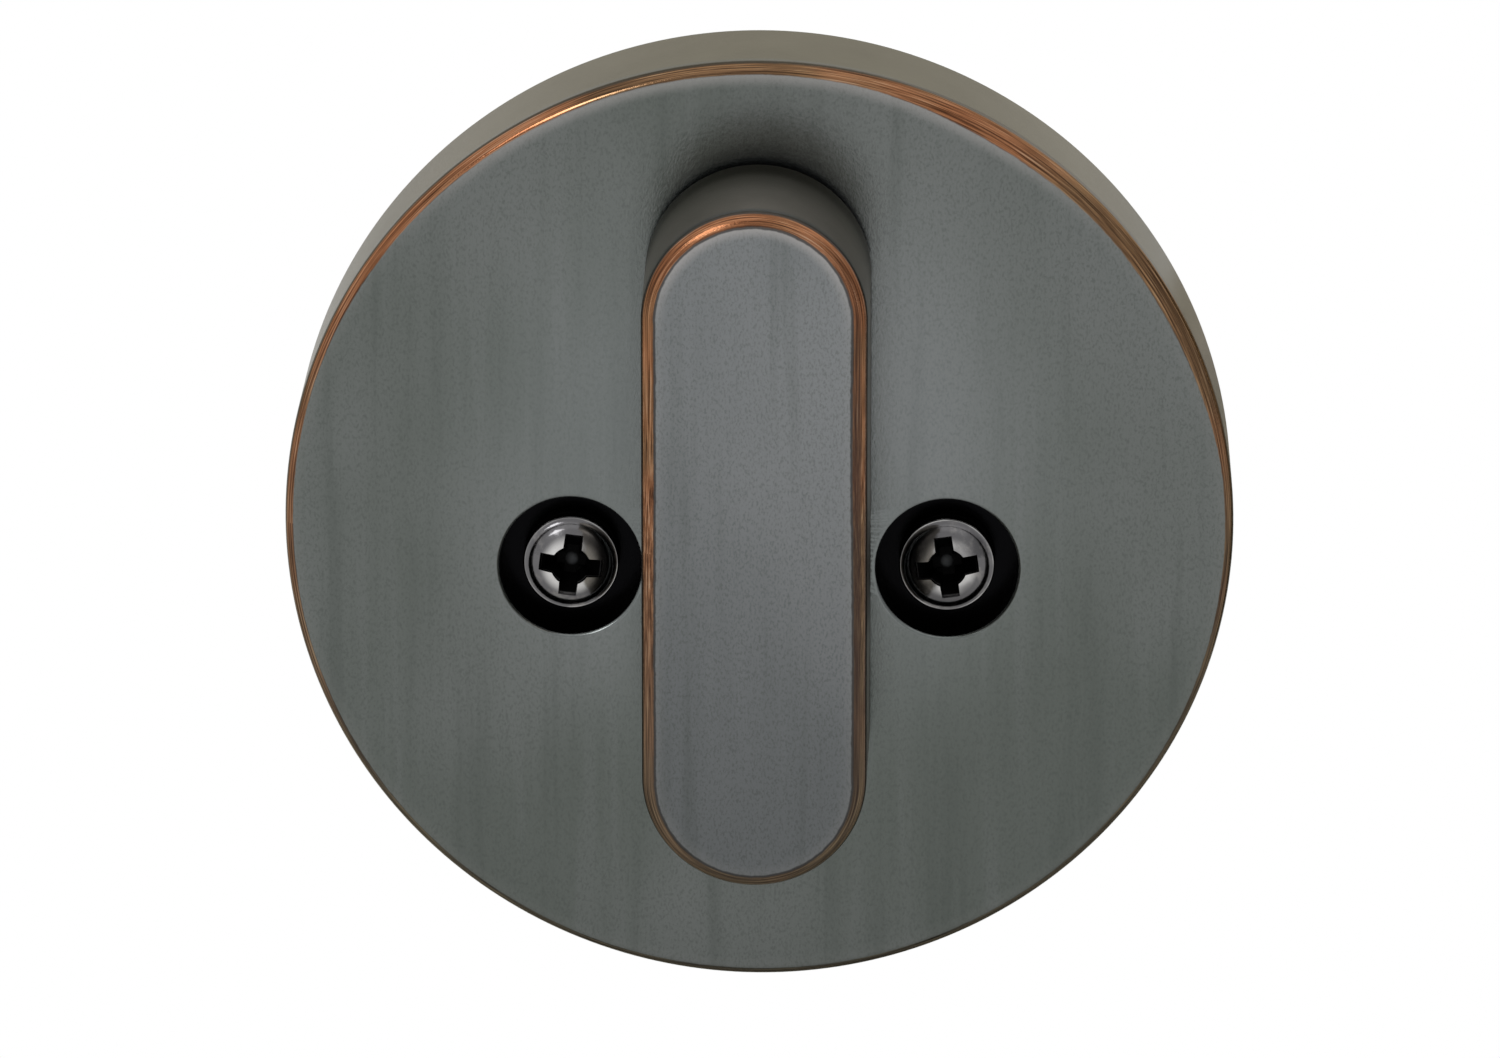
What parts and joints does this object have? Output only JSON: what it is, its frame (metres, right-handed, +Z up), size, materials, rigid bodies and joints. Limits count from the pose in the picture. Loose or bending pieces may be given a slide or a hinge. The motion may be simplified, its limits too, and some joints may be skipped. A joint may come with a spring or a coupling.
{
  "type": "deadbolt door lock",
  "caption": "Round-rose deadbolt door lock with an inside thumbturn, an edge bolt with faceplate and an outside key cylinder with a free-turning guard ring.",
  "frame": {"origin": "centre of the door's cross bore, at mid-thickness of the door, on the bolt's axis", "axes": "+X out of the door's edge along the bolt, +Y through the door towards outdoors, +Z up"},
  "size_m": [0.0933, 0.1237, 0.066],
  "materials": {
    "bronze": "satin oil-rubbed bronze with copper-worn edges",
    "screw_black": "glossy black oxide",
    "steel": "brushed",
    "zinc": "zinc plated",
    "cast": "as cast zinc alloy",
    "brass": "machined",
    "nickel": "nickel silver"
  },
  "bodies": {
    "trim": {"rose": "bronze", "spring_washer": "steel", "screw_left": "screw_black", "screw_right": "screw_black", "faceplate": "bronze", "bolt_tube": "zinc", "bolt_case": "zinc", "guide_rivet": "steel", "case_rivet": "steel", "housing": "cast", "front_cap": "bronze", "cylinder_shell": "brass", "chamber_strip": "brass", "driver_pin_1": "nickel", "driver_pin_2": "nickel", "driver_pin_3": "nickel", "driver_pin_4": "nickel", "driver_pin_5": "nickel", "pin_spring_1": "steel", "pin_spring_2": "steel", "pin_spring_3": "steel", "pin_spring_4": "steel", "pin_spring_5": "steel"},
    "turn": {"thumbturn": "bronze", "turn_clip": "steel", "torque_blade": "steel"},
    "crank": {"hub": "steel"},
    "deadbolt": {"bolt": "steel", "bolt_link": "steel", "link_pin": "steel"},
    "roller": {"roller_pin": "steel"},
    "plug": {"plug": "brass", "plug_cap": "brass", "key": "nickel", "key_pin_1": "brass", "key_pin_2": "brass", "key_pin_3": "brass", "key_pin_4": "brass", "key_pin_5": "brass"},
    "guard": {"guard_ring": "bronze"}
  },
  "joints": [
    {"name": "turn_rotate", "type": "hinge", "parent": "trim", "child": "turn", "pos_m": [0, -0.04, 0.00225], "axis": [0, -1, 0], "range_deg": [0, 90]},
    {"name": "hub_rotate", "type": "hinge", "parent": "trim", "child": "crank", "pos_m": [0, 0, 0.00225], "axis": [0, -1, 0], "range_deg": [0, 90]},
    {"name": "bolt_throw", "type": "slide", "parent": "trim", "child": "deadbolt", "axis": [1, 0, 0], "range_m": [0, 0.0254]},
    {"name": "roller_spin", "type": "hinge", "parent": "deadbolt", "child": "roller", "pos_m": [0.04, 0, 0], "axis": [1, 0, 0], "continuous": true},
    {"name": "plug_rotate", "type": "hinge", "parent": "trim", "child": "plug", "pos_m": [0, 0.03, 0.00225], "axis": [0, -1, 0], "range_deg": [0, 90]},
    {"name": "guard_spin", "type": "hinge", "parent": "trim", "child": "guard", "pos_m": [0, 0.03, 0], "axis": [0, 1, 0], "continuous": true}
  ],
  "couplings": [
    {"joint": "hub_rotate", "follows": "turn_rotate", "ratio": 1},
    {"joint": "bolt_throw", "follows": "turn_rotate", "m_per_rad": 0.01617},
    {"joint": "plug_rotate", "follows": "turn_rotate", "ratio": 1}
  ]
}
